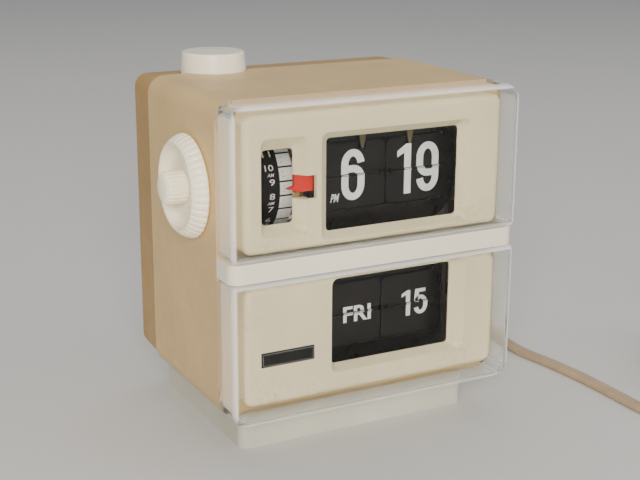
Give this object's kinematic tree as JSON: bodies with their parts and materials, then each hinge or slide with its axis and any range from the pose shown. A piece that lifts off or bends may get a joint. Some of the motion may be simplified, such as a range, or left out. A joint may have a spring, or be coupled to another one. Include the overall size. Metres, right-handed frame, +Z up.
{
  "type": "flip number clock",
  "caption": "Mains desk clock with falling number leaves for time and calendar, an alarm dial, concentric side knobs, a top snooze button and a two-part moulded case on a plinth.",
  "frame": {"origin": "centre line of the case on the underside of the plinth", "axes": "+X to the right seen from the front, +Y to the back, +Z up"},
  "size_m": [0.2974, 0.2264, 0.1526],
  "materials": {
    "case_plastic": "tan moulded plastic, soft satin",
    "cover_plastic": "darker tan moulded plastic, satin",
    "bezel_plastic": "cream moulded plastic, satin, slightly stained",
    "white_plastic": "ivory moulded plastic, semi-gloss",
    "clear_acrylic": "clear moulded acrylic, polished",
    "black_plastic": "black satin plastic",
    "red_plastic": "red moulded plastic",
    "nylon": "natural nylon",
    "steel": "zinc-plated sheet and turned steel",
    "brass": "cut brass",
    "coil_tape": "taped winding",
    "cord_pvc": "brown flexible PVC, semi-matte"
  },
  "bodies": {
    "case": {"front_shell": "case_plastic", "rear_cover": "cover_plastic", "cover_screws": "steel", "base_plinth": "case_plastic", "base_plate": "case_plastic", "base_screws": "steel", "divider_bar": "white_plastic", "upper_lens": "clear_acrylic", "lower_lens": "clear_acrylic", "upper_bezel": "bezel_plastic", "lower_bezel": "bezel_plastic", "blank_name_plate": "black_plastic", "alarm_pointer": "red_plastic", "time_mask": "black_plastic", "calendar_mask": "black_plastic", "leaf_catches": "white_plastic", "hour_leaf_stack": "black_plastic", "minute_leaf_stack": "black_plastic", "day_leaf_stack": "black_plastic", "date_leaf_stack": "black_plastic", "left_frame_plate": "steel", "right_frame_plate": "steel", "frame_rods": "steel", "motor_housing": "steel", "neon_lamp": "clear_acrylic", "lamp_holder": "black_plastic", "buzzer_coil": "coil_tape", "buzzer_reed": "steel", "terminal_block": "black_plastic", "alarm_shaft_bush": "nylon", "calendar_shaft_bush": "nylon", "button_guide": "cover_plastic", "button_spring": "steel", "cord_strain_relief": "cord_pvc", "mains_cord": "cord_pvc", "cord_coil": "cord_pvc", "mains_plug": "cord_pvc"},
    "hour_drum": {"hour_spool": "black_plastic"},
    "minute_drum": {"minute_spool": "black_plastic", "minute_axle": "steel", "minute_wheel": "brass", "setting_wheel": "brass"},
    "motor_rotor": {"motor_pinion": "brass"},
    "time_setter": {"time_set_knob": "white_plastic", "time_set_shaft": "steel", "setting_pinion": "brass"},
    "alarm_dial": {"alarm_ring_knob": "white_plastic", "alarm_hollow_shaft": "steel", "alarm_dial_drum": "black_plastic", "alarm_cam": "nylon"},
    "day_drum": {"day_spool": "black_plastic", "day_set_knob": "white_plastic"},
    "date_drum": {"date_spool": "black_plastic", "date_set_shaft": "steel", "date_set_knob": "white_plastic"},
    "hour_flap": {"hour_leaf": "black_plastic"},
    "minute_flap": {"minute_leaf": "black_plastic"},
    "day_flap": {"day_leaf": "black_plastic"},
    "date_flap": {"date_leaf": "black_plastic"},
    "snooze_button": {"top_button": "white_plastic"}
  },
  "joints": [
    {"name": "hour_drum_turn", "type": "hinge", "parent": "case", "child": "hour_drum", "pos_m": [0, -0.0279, 0.1102], "axis": [1, 0, 0], "continuous": true},
    {"name": "minute_drum_turn", "type": "hinge", "parent": "case", "child": "minute_drum", "pos_m": [0, -0.0279, 0.1102], "axis": [1, 0, 0], "continuous": true},
    {"name": "motor_rotor_turn", "type": "hinge", "parent": "case", "child": "motor_rotor", "pos_m": [0.045, -0.0167, 0.1059], "axis": [1, 0, 0], "continuous": true},
    {"name": "time_knob_turn", "type": "hinge", "parent": "case", "child": "time_setter", "pos_m": [-0.0678, -0.01442, 0.1075], "axis": [1, 0, 0], "continuous": true},
    {"name": "alarm_ring_turn", "type": "hinge", "parent": "case", "child": "alarm_dial", "pos_m": [-0.0653, -0.01442, 0.1075], "axis": [1, 0, 0], "continuous": true},
    {"name": "day_knob_turn", "type": "hinge", "parent": "case", "child": "day_drum", "pos_m": [0, -0.0279, 0.052], "axis": [1, 0, 0], "continuous": true},
    {"name": "date_knob_turn", "type": "hinge", "parent": "case", "child": "date_drum", "pos_m": [0, -0.0279, 0.052], "axis": [1, 0, 0], "continuous": true},
    {"name": "hour_leaf_fall", "type": "hinge", "parent": "case", "child": "hour_flap", "pos_m": [0, -0.0379, 0.1102], "axis": [1, 0, 0], "range_deg": [0, 180]},
    {"name": "minute_leaf_fall", "type": "hinge", "parent": "case", "child": "minute_flap", "pos_m": [0, -0.0379, 0.1102], "axis": [1, 0, 0], "range_deg": [0, 180]},
    {"name": "day_leaf_fall", "type": "hinge", "parent": "case", "child": "day_flap", "pos_m": [0, -0.0379, 0.052], "axis": [1, 0, 0], "range_deg": [0, 180]},
    {"name": "date_leaf_fall", "type": "hinge", "parent": "case", "child": "date_flap", "pos_m": [0, -0.0379, 0.052], "axis": [1, 0, 0], "range_deg": [0, 180]},
    {"name": "button_press", "type": "slide", "parent": "case", "child": "snooze_button", "axis": [0, 0, -1], "range_m": [0, 0.004], "stiffness_N_per_m": 300, "springref_m": -0.003, "deforming": ["button_spring"]}
  ],
  "couplings": [
    {"joint": "hour_drum_turn", "follows": "minute_drum_turn", "ratio": 0.041667},
    {"joint": "motor_rotor_turn", "follows": "minute_drum_turn", "ratio": -4},
    {"joint": "time_knob_turn", "follows": "minute_drum_turn", "ratio": -2.0556}
  ]
}
